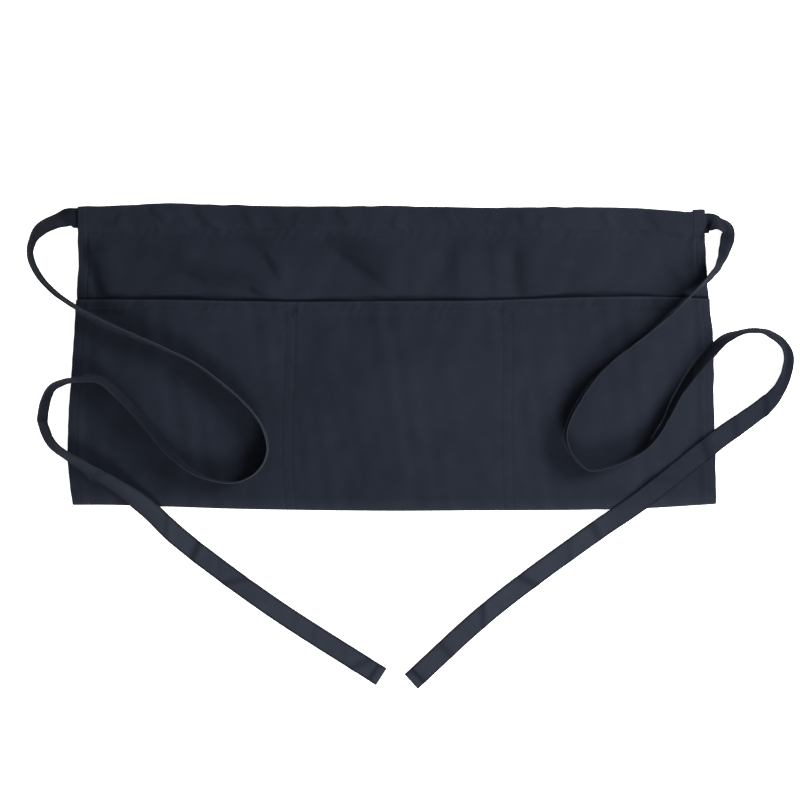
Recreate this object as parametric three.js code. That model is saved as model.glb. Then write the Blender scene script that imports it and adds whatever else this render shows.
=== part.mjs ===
// A waist apron with three pockets, laid flat with its front up and its two ties in loose loops.
// Millimetres. +X runs along the waist, +Y points to the waist edge and +Z out of the front.
// The origin is the middle of the apron, on the surface that it lies on.

import * as THREE from 'three';

// The cut of the apron
const waistWidth = 594; // along the casing
const skirtWidth = 614; // across the lower half
const apronHeight = 290; // from the bottom fold to the top edge
const edgeBow = 6; // how far the long edges stray as the cloth lies

// The cloth, and the air between two layers of it
const clothThickness = 1;
const layerGap = 0.3;

// The ties
const tieWidth = 19;
const tieThickness = 1.6;
const tieInsert = 12; // the end that the casing holds
const tieSteps = 72;

// The casing is a flat tube that the ends of the ties go into
const casingRoom = 0.5; // beside the edges of a tie
const casingHeight = tieWidth + 2 * (clothThickness + casingRoom);
const casingDepth = tieThickness + 2 * (clothThickness + layerGap);
const casingSteps = 26;
const casingArcSteps = 4; // on each rounded edge
const casingTabWidth = 11; // the turned end that stands up at the right
const casingTabRise = 1.8;
const casingTabStep = 0.6; // the top edge climbs to the tab over this
const seamSlope = 7; // the panel climbs over this to the middle of the casing

// The side hems, turned under the edges of the panel
const sideHemWidth = 9;
const sideHemSlope = 8; // the panel comes down from its hem over this

// The pocket: one cloth, folded up at the bottom and stitched down into three
const pocketDepth = 199;
const pocketSwell = 7.5; // how far the mouths stand open
const swellFlatness = 0.4; // power of the sine across a pocket: less is flatter
const swellRise = 1.2; // power of the height in a pocket: more keeps the bottom flatter
const dividerWidth = 9; // between the two rows of stitches
const mouthHemHeight = 8;
const mouthHemSlope = 6; // the pocket comes down from its mouth hem over this
const foldTurn = 0.25; // the inside corner of the bottom fold
const foldNose = 0.35; // height of the rounded bottom edge, as a share of the layers above it

// Dividers of the pocket, as shares of the width
const dividers = [{ along: 0.338 }, { along: 0.678 }];

// The long edges, a row for each place along the width: how far the top edge, the mouth of the
// pocket and the bottom fold stray there, as shares of edgeBow.
const longEdges = [
  { along: 0.0, top: -0.3, mouth: 0.1, bottom: 0.82 },
  { along: 0.05, top: -0.2, mouth: 0.1, bottom: 0.82 },
  { along: 0.13, top: 0.2, mouth: 0.1, bottom: 0.6 },
  { along: 0.25, top: -0.05, mouth: -0.1, bottom: 0.2 },
  { along: 0.36, top: -0.25, mouth: -0.22, bottom: 0 },
  { along: 0.5, top: -0.2, mouth: -0.12, bottom: -0.13 },
  { along: 0.64, top: -0.45, mouth: -0.03, bottom: -0.05 },
  { along: 0.78, top: -0.35, mouth: 0.42, bottom: 0.02 },
  { along: 0.9, top: -0.57, mouth: 0.58, bottom: 0.33 },
  { along: 0.96, top: -1.0, mouth: 0.42, bottom: 0.7 },
  { along: 1.0, top: -1.1, mouth: 0.25, bottom: 0.97 },
];

// The two sides, a row for each height: how far each stands out, as shares of the flare.
const sideEdges = [
  { up: 0.0, left: 0.45, right: 1.08 },
  { up: 0.06, left: 0.68, right: 1.06 },
  { up: 0.16, left: 0.98, right: 1.03 },
  { up: 0.38, left: 0.75, right: 0.84 },
  { up: 0.52, left: 0.48, right: 0.86 },
  { up: 0.6, left: 0.33, right: 0.68 },
  { up: 0.68, left: 0.2, right: 0.44 },
  { up: 0.76, left: 0.08, right: 0.28 },
  { up: 1.0, left: 0.05, right: -0.08 },
];

// Soft folds above the pocket. Ends and reach are shares of waistWidth and apronHeight, and
// height is a share of the casing's depth.
const folds = [
  { fromAlong: 0.022, fromUp: 0.86, toAlong: 0.06, toUp: 0.74, reach: 0.014, height: 0.55 },
  { fromAlong: 0.25, fromUp: 0.9, toAlong: 0.3, toUp: 0.8, reach: 0.013, height: 0.5 },
  { fromAlong: 0.3, fromUp: 0.8, toAlong: 0.32, toUp: 0.72, reach: 0.013, height: 0.4 },
  { fromAlong: 0.144, fromUp: 0.8, toAlong: 0.29, toUp: 0.73, reach: 0.012, height: 0.35 },
  { fromAlong: 0.39, fromUp: 0.9, toAlong: 0.5, toUp: 0.76, reach: 0.014, height: 0.35 },
  { fromAlong: 0.712, fromUp: 0.9, toAlong: 0.712, toUp: 0.75, reach: 0.013, height: 0.4 },
];
const foldFade = 0.045; // folds die away over this share of the height, at the mouth and the seam

// Rows of the cloth, as shares of the pocket's depth and of the band above it
const pocketShares = [0.07, 0.16, 0.3, 0.5, 0.7, 0.84];
const bandShares = [0, 0.07, 0.16, 0.26, 0.36, 0.46, 0.56, 0.66, 0.76, 0.85];
const panelColumns = 42;
const pocketColumns = 12; // in each of the three pockets
const columnRoom = 1; // between the last column of a side and the next

// The left tie from the mouth of the casing: out is away from the apron, down is towards its
// bottom, lift is the height of what it lies on, and roll is 0 where it lies flat and 90 on edge.
const leftRoute = [
  { out: -tieInsert, down: 0, lift: 1, roll: 0 },
  { out: -4, down: 0, lift: 1, roll: 0 },
  { out: 3, down: 0, lift: 1, roll: 0 },
  { out: 9, down: 0.3, lift: 1, roll: 20 },
  { out: 20, down: 3.8, lift: 0.5, roll: 36 },
  { out: 34, down: 11, lift: 0, roll: 38 },
  { out: 42, down: 24, lift: 0, roll: 54 },
  { out: 43.5, down: 36, lift: 0, roll: 60 },
  { out: 38.5, down: 50, lift: 0, roll: 63 },
  { out: 26, down: 66, lift: 1, roll: 69 },
  { out: 8, down: 80, lift: 4.6, roll: 74 },
  { out: -21, down: 96, lift: 7.1, roll: 83 },
  { out: -70, down: 118, lift: 8.0, roll: 83 },
  { out: -92, down: 128, lift: 7.9, roll: 83 },
  { out: -114, down: 139, lift: 7.5, roll: 84 },
  { out: -157, down: 173, lift: 5.7, roll: 88 },
  { out: -173, down: 192, lift: 4.6, roll: 90 },
  { out: -180, down: 209, lift: 3.8, roll: 90 },
  { out: -180, down: 226, lift: 3.3, roll: 90 },
  { out: -170, down: 241, lift: 3.1, roll: 90 },
  { out: -152, down: 250, lift: 3, roll: 90 },
  { out: -129, down: 248, lift: 3.2, roll: 90 },
  { out: -107, down: 238, lift: 3.7, roll: 82 },
  { out: -86, down: 219, lift: 4.4, roll: 72 },
  { out: -63, down: 191, lift: 5.2, roll: 70 },
  { out: -41, down: 168, lift: 5.5, roll: 73 },
  { out: -24, down: 155, lift: 5.5, roll: 78 },
  { out: -2, down: 154, lift: 4.7, roll: 78 },
  { out: 14, down: 157, lift: 2.6, roll: 66 },
  { out: 25, down: 164.5, lift: 0, roll: 53 },
  { out: 30.5, down: 178, lift: 0, roll: 47 },
  { out: 31.5, down: 194, lift: 0, roll: 47 },
  { out: 25.5, down: 210.5, lift: 0, roll: 50 },
  { out: 13, down: 222, lift: 3.2, roll: 58 },
  { out: -8, down: 234.7, lift: 4.2, roll: 57 },
  { out: -36.5, down: 252, lift: 3.8, roll: 44 },
  { out: -65, down: 273.5, lift: 3.3, roll: 14 },
  { out: -97, down: 304, lift: 0.6, roll: 0 },
  { out: -182, down: 367.5, lift: 0, roll: 0 },
  { out: -288, down: 435.5, lift: 0, roll: 0 },
];

// The right tie, in the same way
const rightRoute = [
  { out: -tieInsert, down: 0, lift: 1, roll: 0 },
  { out: -4, down: 0, lift: 1, roll: 0 },
  { out: 3, down: 0, lift: 1, roll: 0 },
  { out: 7.5, down: 0.2, lift: 1, roll: -30 },
  { out: 13, down: 1.7, lift: 0.6, roll: -48 },
  { out: 20.5, down: 6.5, lift: 0.2, roll: -38 },
  { out: 20.8, down: 14.5, lift: 0, roll: -34 },
  { out: 17.5, down: 26, lift: 0, roll: -44 },
  { out: 13, down: 37.5, lift: 0.3, roll: -60 },
  { out: 6, down: 48.5, lift: 3, roll: -68 },
  { out: -15, down: 69, lift: 8.1, roll: -82 },
  { out: -34, down: 88, lift: 8.1, roll: -83 },
  { out: -57, down: 107, lift: 8.0, roll: -85 },
  { out: -100, down: 141, lift: 7.3, roll: -90 },
  { out: -128, down: 183, lift: 5.4, roll: -90 },
  { out: -133, down: 200, lift: 4.7, roll: -90 },
  { out: -130, down: 214, lift: 4.3, roll: -90 },
  { out: -121, down: 227, lift: 3.9, roll: -90 },
  { out: -111, down: 234, lift: 3.6, roll: -90 },
  { out: -96, down: 232, lift: 3.6, roll: -90 },
  { out: -77, down: 225, lift: 3.9, roll: -90 },
  { out: -57, down: 213, lift: 4.2, roll: -90 },
  { out: -42, down: 193, lift: 4.8, roll: -86 },
  { out: -28, down: 165, lift: 5.1, roll: -80 },
  { out: -13, down: 143, lift: 5.0, roll: -70 },
  { out: 3, down: 124, lift: 4.5, roll: -64 },
  { out: 17, down: 110.5, lift: 2.6, roll: -66 },
  { out: 33, down: 104, lift: 0, roll: -77 },
  { out: 50, down: 102.5, lift: 0, roll: -74 },
  { out: 62, down: 106.5, lift: 0, roll: -61 },
  { out: 73, down: 114.5, lift: 0, roll: -56 },
  { out: 78.5, down: 126, lift: 0, roll: -48 },
  { out: 77, down: 140, lift: 0, roll: -45 },
  { out: 70.5, down: 156, lift: 0, roll: -42 },
  { out: 58, down: 171.5, lift: 0, roll: -22 },
  { out: 12, down: 205.3, lift: 3.3, roll: 0 },
  { out: -61.5, down: 263.4, lift: 3.6, roll: 0 },
  { out: -102.8, down: 292.1, lift: 1, roll: 0 },
  { out: -203.3, down: 367, lift: 0, roll: 0 },
  { out: -278.4, down: 435.2, lift: 0, roll: 0 },
];

const { clamp, lerp, mapLinear, degToRad } = THREE.MathUtils;

// A column of a table, read at a place between its rows along a straight line
function readTable(rows, key, at, column) {
  const next = rows.findIndex((row) => row[key] >= at);
  if (next === 0) return rows[0][column];
  if (next < 0) return rows[rows.length - 1][column];
  const low = rows[next - 1];
  const high = rows[next];
  return mapLinear(at, low[key], high[key], low[column], high[column]);
}

// The outline: heights of the long edges at a share of the width
const topAt = (along) => apronHeight / 2 + edgeBow * readTable(longEdges, 'along', along, 'top');
const bottomAt = (along) =>
  -apronHeight / 2 + edgeBow * readTable(longEdges, 'along', along, 'bottom');
const mouthAt = (along) =>
  -apronHeight / 2 + pocketDepth + edgeBow * readTable(longEdges, 'along', along, 'mouth');
const seamAt = (along) => topAt(along) - casingHeight;

// The place across the apron of a share of its width, at a height
function acrossAt(along, y) {
  const up = y / apronHeight + 0.5;
  const flare = (skirtWidth - waistWidth) / 2;
  const left = -waistWidth / 2 - flare * readTable(sideEdges, 'up', up, 'left');
  const right = waistWidth / 2 + flare * readTable(sideEdges, 'up', up, 'right');
  return lerp(left, right, along);
}

// A fold's height falls off as a bell with the distance from the line between its ends.
function foldsAt(along, y) {
  const up = y / apronHeight + 0.5;
  const toMouth = up - (mouthAt(along) / apronHeight + 0.5);
  const toSeam = (seamAt(along) - seamSlope) / apronHeight + 0.5 - up;
  const fade = clamp(Math.min(toMouth, toSeam) / foldFade, 0, 1);
  const here = new THREE.Vector2(along * waistWidth, up * apronHeight);
  let height = 0;
  for (const fold of folds) {
    const start = new THREE.Vector2(fold.fromAlong * waistWidth, fold.fromUp * apronHeight);
    const run = new THREE.Vector2(fold.toAlong * waistWidth, fold.toUp * apronHeight).sub(start);
    const share = clamp(here.clone().sub(start).dot(run) / run.lengthSq(), 0, 1);
    const distance = here.distanceTo(run.multiplyScalar(share).add(start));
    const reach = fold.reach * waistWidth;
    height += fold.height * casingDepth * Math.exp(-((distance / reach) ** 2));
  }
  return height * fade;
}

// The panel lies on the table, on its side hems, and climbs to the casing at its top edge.
function panelLower(along, y) {
  const fromSide = Math.min(along, 1 - along) * waistWidth;
  const onHem = clamp(1 - (fromSide - sideHemWidth) / sideHemSlope, 0, 1);
  const atSeam = clamp(1 - (seamAt(along) - layerGap - y) / seamSlope, 0, 1);
  const hemLift = onHem * (clothThickness + layerGap);
  const seamLift = (atSeam * (casingDepth - clothThickness)) / 2;
  return Math.max(hemLift, seamLift, foldsAt(along, y));
}
const panelUpper = (along, y) => panelLower(along, y) + clothThickness;

// The walls of the three pockets, as shares of the width
function pocketWalls() {
  const half = dividerWidth / 2 / waistWidth;
  const hem = sideHemWidth / waistWidth;
  const starts = [hem, ...dividers.map((divider) => divider.along + half)];
  const ends = [...dividers.map((divider) => divider.along - half), 1 - hem];
  return starts.map((start, number) => ({ start, end: ends[number] }));
}

// A pocket swells between its walls as a flattened sine, and more towards its mouth.
function swellAt(along, y) {
  const walls = pocketWalls().find((wall) => along > wall.start && along < wall.end);
  if (!walls) return 0;
  const across = mapLinear(along, walls.start, walls.end, 0, 1);
  const up = clamp(mapLinear(y, bottomAt(along), mouthAt(along), 0, 1), 0, 1);
  return pocketSwell * Math.sin(Math.PI * across) ** swellFlatness * up ** swellRise;
}

// The mouth hem is turned under the pocket's top edge.
const mouthHemLower = (along, y) => panelUpper(along, y) + layerGap + swellAt(along, y);
const mouthHemUpper = (along, y) => mouthHemLower(along, y) + clothThickness;

// The pocket lies on the panel and on its own hem, and its bottom fold goes down to the table.
function pocketLower(along, y) {
  if (y <= bottomAt(along) + clothThickness) return 0;
  const fromMouth = mouthAt(along) - y;
  const onHem = clamp(1 - (fromMouth - mouthHemHeight) / mouthHemSlope, 0, 1);
  return mouthHemLower(along, y) + onHem * (clothThickness + layerGap);
}
function pocketUpper(along, y) {
  const inward = clamp((y - bottomAt(along)) / clothThickness, 0, 1);
  const full = Math.max(pocketLower(along, y), panelUpper(along, y) + layerGap) + clothThickness;
  return lerp(foldNose, 1, Math.sqrt(1 - (1 - inward) ** 2)) * full;
}

// Rows of a sheet are functions that give the height of the row at a share of the width.
const pocketZone = pocketDepth - mouthHemHeight - mouthHemSlope;
const bottomEdgeRow = (along) => bottomAt(along) + clothThickness + foldTurn + layerGap;
const pocketZoneRows = pocketShares.map(
  (share) => (along) => lerp(bottomAt(along), mouthAt(along), share * (pocketZone / pocketDepth)),
);
const mouthHemRows = [1, 0.5, 0].map((share) => (along) => mouthAt(along) - share * mouthHemHeight);
const mouthSlopeRow = (along) => mouthAt(along) - mouthHemHeight - mouthHemSlope;
const bandRows = bandShares.map(
  (share) => (along) => lerp(mouthAt(along), seamAt(along) - layerGap, share),
);
const seamRows = [1, 0].map((share) => (along) => seamAt(along) - layerGap - share * seamSlope);
const panelRows = [bottomEdgeRow, ...pocketZoneRows, ...bandRows, ...seamRows];
const foldRows = [0, 0.3, 1].map((share) => (along) => bottomAt(along) + share * clothThickness);
const foldCornerRow = (along) => bottomAt(along) + clothThickness + foldTurn;
const pocketRows = [
  ...foldRows,
  foldCornerRow,
  ...pocketZoneRows,
  mouthSlopeRow,
  ...mouthHemRows,
];

// Columns of a sheet are shares of the width, with one at each end of a side hem's slope.
function withSides(inner) {
  const sides = [0, sideHemWidth, sideHemWidth + sideHemSlope].map((from) => from / waistWidth);
  const last = sides[sides.length - 1] + columnRoom / waistWidth;
  const middle = inner.filter((along) => along > last && along < 1 - last);
  return [...sides, ...middle, ...sides.map((along) => 1 - along).reverse()];
}
const evenShares = Array.from({ length: panelColumns + 1 }, (_, step) => step / panelColumns);
const wallShares = pocketWalls().flatMap(({ start, end }) =>
  Array.from({ length: pocketColumns + 1 }, (_, step) =>
    lerp(start, end, (1 - Math.cos((Math.PI * step) / pocketColumns)) / 2),
  ),
);

function indexedGeometry(positions, triangles) {
  const geometry = new THREE.BufferGeometry();
  geometry.setAttribute('position', new THREE.Float32BufferAttribute(positions, 3));
  geometry.setIndex(triangles);
  geometry.computeVertexNormals();
  return geometry;
}

// A closed sheet of cloth between a lower and an upper surface
function sheetGeometry(columns, rows, lowerAt, upperAt) {
  const positions = [];
  for (const surfaceAt of [lowerAt, upperAt]) {
    for (const rowAt of rows) {
      for (const along of columns) {
        const y = rowAt(along);
        positions.push(acrossAt(along, y), y, surfaceAt(along, y));
      }
    }
  }
  const wide = columns.length;
  const deep = rows.length;
  const upper = wide * deep;
  const triangles = [];
  for (let row = 0; row + 1 < deep; row += 1) {
    for (let column = 0; column + 1 < wide; column += 1) {
      const a = row * wide + column;
      const b = a + 1;
      const c = b + wide;
      const d = a + wide;
      triangles.push(a, c, b, a, d, c);
      triangles.push(upper + a, upper + b, upper + c, upper + a, upper + c, upper + d);
    }
  }
  const rim = [];
  for (let column = 0; column < wide; column += 1) rim.push(column);
  for (let row = 1; row < deep; row += 1) rim.push(row * wide + wide - 1);
  for (let column = wide - 2; column >= 0; column -= 1) rim.push((deep - 1) * wide + column);
  for (let row = deep - 2; row > 0; row -= 1) rim.push(row * wide);
  rim.forEach((from, number) => {
    const to = rim[(number + 1) % rim.length];
    triangles.push(from, to, upper + to, from, upper + to, upper + from);
  });
  return indexedGeometry(positions, triangles);
}

// A flat loop with rounded edges in the plane of height and depth, turning from height to depth
function flatLoop(low, high, depth) {
  const radius = depth / 2;
  const loop = [];
  for (const { centre, turn } of [
    { centre: high - radius, turn: -Math.PI / 2 },
    { centre: low + radius, turn: Math.PI / 2 },
  ]) {
    for (let step = 0; step <= casingArcSteps; step += 1) {
      const angle = turn + (Math.PI * step) / casingArcSteps;
      loop.push({ y: centre + radius * Math.cos(angle), z: radius * Math.sin(angle) });
    }
  }
  return loop;
}

// The casing: a loop of cloth carried along the waist, open at both ends, with its right end
// turned back into a tab that stands a little above the top edge
function casingGeometry() {
  const tabStart = 1 - casingTabWidth / waistWidth;
  const even = Array.from({ length: casingSteps + 1 }, (_, step) => step / casingSteps);
  const tab = [tabStart - casingTabStep / waistWidth, tabStart, 1];
  const stations = [...even.filter((along) => along < tab[0]), ...tab];
  const positions = [];
  for (const along of stations) {
    const low = seamAt(along);
    const high = topAt(along);
    const rise = along >= tabStart ? casingTabRise : 0;
    const outer = flatLoop(low, high + rise, casingDepth);
    const innerDepth = casingDepth - 2 * clothThickness;
    const inner = flatLoop(low + clothThickness, high - clothThickness, innerDepth);
    for (const { y, z } of [...outer, ...inner]) {
      positions.push(acrossAt(along, (low + high) / 2), y, z + casingDepth / 2);
    }
  }
  const around = 2 * (casingArcSteps + 1);
  const ring = 2 * around;
  const triangles = [];
  const quad = (a, b, c, d) => triangles.push(a, b, c, a, c, d);
  for (let step = 0; step < around; step += 1) {
    const next = (step + 1) % around;
    for (let station = 0; station + 1 < stations.length; station += 1) {
      const here = station * ring;
      const there = here + ring;
      quad(here + step, here + next, there + next, there + step);
      const inside = here + around;
      const insideThere = there + around;
      quad(inside + next, inside + step, insideThere + step, insideThere + next);
    }
    const last = (stations.length - 1) * ring;
    quad(step, around + step, around + next, next);
    quad(last + step, last + next, last + around + next, last + around + step);
  }
  return indexedGeometry(positions, triangles);
}

// The path of a strap: a smooth curve through its route, whose frames turn with the roll
class StrapPath extends THREE.CatmullRomCurve3 {
  constructor(points, rolls) {
    super(points);
    this.rolls = rolls;
  }

  rollAt(share) {
    const place = this.getUtoTmapping(share) * (this.rolls.length - 1);
    const row = Math.min(Math.floor(place), this.rolls.length - 2);
    return lerp(this.rolls[row], this.rolls[row + 1], THREE.MathUtils.smoothstep(place - row, 0, 1));
  }

  computeFrenetFrames(steps) {
    const frames = { tangents: [], normals: [], binormals: [] };
    const up = new THREE.Vector3(0, 0, 1);
    for (let step = 0; step <= steps; step += 1) {
      const tangent = this.getTangentAt(step / steps);
      const side = new THREE.Vector3().crossVectors(up, tangent).normalize();
      const wide = side.applyAxisAngle(tangent, degToRad(this.rollAt(step / steps)));
      frames.tangents.push(tangent);
      frames.normals.push(wide);
      frames.binormals.push(new THREE.Vector3().crossVectors(tangent, wide));
    }
    return frames;
  }
}

// A tie is a flat band with eased edges along its route. Its middle stands half its own height
// at that roll above what it lies on.
function tieGeometry(route, end) {
  const exitX = acrossAt(end, (seamAt(end) + topAt(end)) / 2);
  const exitY = (seamAt(end) + topAt(end)) / 2;
  const outward = end === 0 ? -1 : 1;
  const points = route.map(({ out, down, lift, roll }) => {
    const turned = degToRad(roll);
    const tall = tieWidth * Math.abs(Math.sin(turned)) + tieThickness * Math.abs(Math.cos(turned));
    const z = lift + layerGap + tall / 2;
    return new THREE.Vector3(exitX + outward * out, exitY - down, z);
  });
  const ease = tieThickness / 4;
  const halfWide = tieWidth / 2;
  const halfThick = tieThickness / 2;
  const section = new THREE.Shape([
    new THREE.Vector2(halfWide, ease - halfThick),
    new THREE.Vector2(halfWide, halfThick - ease),
    new THREE.Vector2(halfWide - ease, halfThick),
    new THREE.Vector2(ease - halfWide, halfThick),
    new THREE.Vector2(-halfWide, halfThick - ease),
    new THREE.Vector2(-halfWide, ease - halfThick),
    new THREE.Vector2(ease - halfWide, -halfThick),
    new THREE.Vector2(halfWide - ease, -halfThick),
  ]);
  const path = new StrapPath(points, route.map(({ roll }) => roll));
  return new THREE.ExtrudeGeometry(section, {
    steps: tieSteps,
    extrudePath: path,
    bevelEnabled: false,
  });
}

const apron = new THREE.Group();

function addPiece(name, geometry, color) {
  const material = new THREE.MeshStandardMaterial({ color, roughness: 0.85, metalness: 0 });
  const mesh = new THREE.Mesh(geometry, material);
  mesh.name = name;
  apron.add(mesh);
}

const clothColor = 0x292f39;
const tieColor = 0x30363f;
const hemEdges = [0, sideHemWidth / waistWidth];
const tableTop = () => 0;
const hemTop = () => clothThickness;

const otherHemEdges = hemEdges.map((along) => 1 - along).reverse();
const panelGrid = withSides(evenShares);
const pocketGrid = withSides(wallShares);

addPiece('back_panel', sheetGeometry(panelGrid, panelRows, panelLower, panelUpper), clothColor);
addPiece('side_hem_left', sheetGeometry(hemEdges, panelRows, tableTop, hemTop), clothColor);
addPiece('side_hem_right', sheetGeometry(otherHemEdges, panelRows, tableTop, hemTop), clothColor);
addPiece('waist_casing', casingGeometry(), clothColor);
addPiece('pocket_front', sheetGeometry(pocketGrid, pocketRows, pocketLower, pocketUpper), clothColor);
addPiece(
  'pocket_mouth_hem',
  sheetGeometry(pocketGrid, mouthHemRows, mouthHemLower, mouthHemUpper),
  clothColor,
);
addPiece('tie_left', tieGeometry(leftRoute, 0), tieColor);
addPiece('tie_right', tieGeometry(rightRoute, 1), tieColor);

export default apron;
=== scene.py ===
import bpy
import numpy as np
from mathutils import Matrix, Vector


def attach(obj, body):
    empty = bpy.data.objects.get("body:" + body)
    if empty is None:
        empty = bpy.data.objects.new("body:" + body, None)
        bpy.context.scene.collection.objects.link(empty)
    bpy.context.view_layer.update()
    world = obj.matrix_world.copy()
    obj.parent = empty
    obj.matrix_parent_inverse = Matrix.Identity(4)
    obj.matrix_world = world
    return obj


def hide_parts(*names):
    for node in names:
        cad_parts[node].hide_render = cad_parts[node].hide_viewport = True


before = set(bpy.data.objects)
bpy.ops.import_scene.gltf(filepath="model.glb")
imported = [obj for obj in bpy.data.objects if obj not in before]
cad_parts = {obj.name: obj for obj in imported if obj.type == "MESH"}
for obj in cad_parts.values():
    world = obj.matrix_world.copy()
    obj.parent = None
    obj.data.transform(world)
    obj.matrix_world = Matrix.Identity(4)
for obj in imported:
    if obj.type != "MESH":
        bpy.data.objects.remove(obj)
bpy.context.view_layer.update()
print("frame loaded")

# The cut, in metres, with shares of the width (along) and of the height (up) in the two tables
cut = {
    "waistWidth": 0.594,
    "skirtWidth": 0.614,
    "height": 0.29,
    "edgeBow": 0.006,
    "pocketDepth": 0.199,
    "casingHeight": 0.022,
    "casingDepth": 0.0042,
    "layerGap": 0.0003,
    "layer": 0.001,  # room that one layer takes
    "cloth": 0.0008,  # the cloth itself
    "onTable": 0.00005,  # the lowest that a tie or a thread lies
    "dividers": (0.338, 0.678),
    "dividerWidth": 0.009,
    "sideHem": 0.009,
    "mouthHem": 0.008,
}
longEdges = {
    "along": (0.0, 0.05, 0.13, 0.25, 0.36, 0.5, 0.64, 0.78, 0.9, 0.96, 1.0),
    "top": (-0.3, -0.2, 0.2, -0.05, -0.25, -0.2, -0.45, -0.35, -0.57, -1.0, -1.1),
    "mouth": (0.1, 0.1, 0.1, -0.1, -0.22, -0.12, -0.03, 0.42, 0.58, 0.42, 0.25),
    "bottom": (0.82, 0.82, 0.6, 0.2, 0.0, -0.13, -0.05, 0.02, 0.33, 0.7, 0.97),
}
sideEdges = {
    "up": (0.0, 0.06, 0.16, 0.38, 0.52, 0.6, 0.68, 0.76, 1.0),
    "left": (0.45, 0.68, 0.98, 0.75, 0.48, 0.33, 0.2, 0.08, 0.05),
    "right": (1.08, 1.06, 1.03, 0.84, 0.86, 0.68, 0.44, 0.28, -0.08),
}


def smoothStep(share):
    # 3s^2 - 2s^3 between 0 and 1
    share = np.clip(share, 0, 1)
    return share * share * (3 - 2 * share)


def bell(off, reach):
    # e to the minus square of off over reach
    return np.exp(-((off / reach) ** 2))


def cubic(start, startSlope, end, endSlope, s):
    # the cubic from start to end with the two slopes (Hermite), at s from 0 to 1
    first = start * (1 + 2 * s) * (1 - s) ** 2 + startSlope * s * (1 - s) ** 2
    return first + end * s * s * (3 - 2 * s) + endSlope * s * s * (s - 1)


def readTable(table, key, at, column):
    # a cubic between each two rows, with the slopes of the rows' neighbours
    places, values = np.array(table[key]), np.array(table[column])
    slopes = np.gradient(values, places)
    row = np.clip(np.searchsorted(places, at) - 1, 0, len(places) - 2)
    step = places[row + 1] - places[row]
    s = np.clip((at - places[row]) / step, 0, 1)
    return cubic(values[row], slopes[row] * step, values[row + 1], slopes[row + 1] * step, s)


def bowAt(edge, along):
    # the table's share of the bow of that edge
    return cut["edgeBow"] * readTable(longEdges, "along", along, edge)


def topAt(along):
    # half the height, plus the bow
    return cut["height"] / 2 + bowAt("top", along)


def seamAt(along):
    # the casing's height below the top
    return topAt(along) - cut["casingHeight"]


def bottomAt(along):
    # half the height below the middle, plus the bow
    return -cut["height"] / 2 + bowAt("bottom", along)


def mouthAt(along):
    # the pocket's depth above the bottom, plus the bow
    return -cut["height"] / 2 + cut["pocketDepth"] + bowAt("mouth", along)


def acrossAt(along, y):
    # a straight share between the left and the right edge at that height
    up = y / cut["height"] + 0.5
    flare = (cut["skirtWidth"] - cut["waistWidth"]) / 2
    left = -cut["waistWidth"] / 2 - flare * readTable(sideEdges, "up", up, "left")
    right = cut["waistWidth"] / 2 + flare * readTable(sideEdges, "up", up, "right")
    return left + (right - left) * along


def addObject(name, data):
    # an object in the scene, at the origin
    item = bpy.data.objects.new(name, data)
    bpy.context.scene.collection.objects.link(item)
    return item


# Camera: straight above, far enough to take in viewWidth on the table
cameraSetup = {"lens": 70.0, "sensor": 36.0, "viewWidth": 0.76, "centre": (0.0081, -0.0404)}


def addCamera(setup):
    # as far off as the view's width times the lens over the sensor
    data = bpy.data.cameras.new("camera")
    data.lens, data.sensor_width = setup["lens"], setup["sensor"]
    data.clip_start, data.clip_end = 0.05, 20
    camera = addObject("camera", data)
    distance = setup["viewWidth"] * setup["lens"] / setup["sensor"]
    camera.location = (*setup["centre"], distance)
    bpy.context.scene.camera = camera


addCamera(cameraSetup)
print("camera placed")


# Mesh making
def addPiece(name, points, faceSets, replaced, fields):
    # points (n, 3) and arrays of faces with equal corners, shaded smooth, with a value or a
    # vector at each point for each named field. All pieces ride the one body.
    mesh = bpy.data.meshes.new(name)
    faces = [face for faceSet in faceSets for face in np.asarray(faceSet).tolist()]
    mesh.from_pydata(np.asarray(points, float).tolist(), [], faces)
    mesh.polygons.foreach_set("use_smooth", np.ones(len(faces), bool))
    for field, values in fields.items():
        kind = "FLOAT" if values.ndim == 1 else "FLOAT_VECTOR"
        key = "value" if values.ndim == 1 else "vector"
        layer = mesh.attributes.new(field, kind, "POINT")
        layer.data.foreach_set(key, values.astype(np.float32).ravel())
    mesh.update()
    piece = addObject(name, mesh)
    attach(piece, "root")
    if replaced:
        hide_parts(*replaced)
    return piece


def tubeFaces(rings, around):
    # the numbers of the points of a row of rings, and a square between each four neighbours
    place = np.arange(rings * around).reshape(rings, around)
    nextOne = np.roll(place, -1, axis=1)
    wall = np.stack([place[:-1], nextOne[:-1], nextOne[1:], place[1:]], -1)
    return place, wall.reshape(-1, 4)


def unit(vectors):
    # each vector over its length
    return vectors / np.maximum(np.linalg.norm(vectors, axis=-1, keepdims=True), 1e-12)


def closedSheet(middle, half):
    # half the thickness to each side of a grid of points, a square between each four neighbours
    # on both sides, and a strip round the rim
    rows, columns = middle.shape[:2]
    normals = unit(np.cross(np.gradient(middle, axis=1), np.gradient(middle, axis=0)))
    offset = normals * half[..., None]
    points = np.concatenate([(middle + offset).reshape(-1, 3), (middle - offset).reshape(-1, 3)])
    count = rows * columns
    place = np.arange(count).reshape(rows, columns)
    square = np.stack([place[:-1, :-1], place[:-1, 1:], place[1:, 1:], place[1:, :-1]], -1)
    square = square.reshape(-1, 4)
    rim = np.concatenate([place[0, :-1], place[:-1, -1], place[-1, :0:-1], place[:0:-1, 0]])
    after = np.roll(rim, -1)
    strip = np.stack([rim, rim + count, after + count, after], -1)
    return points, [square, square[:, ::-1] + count, strip]


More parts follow.
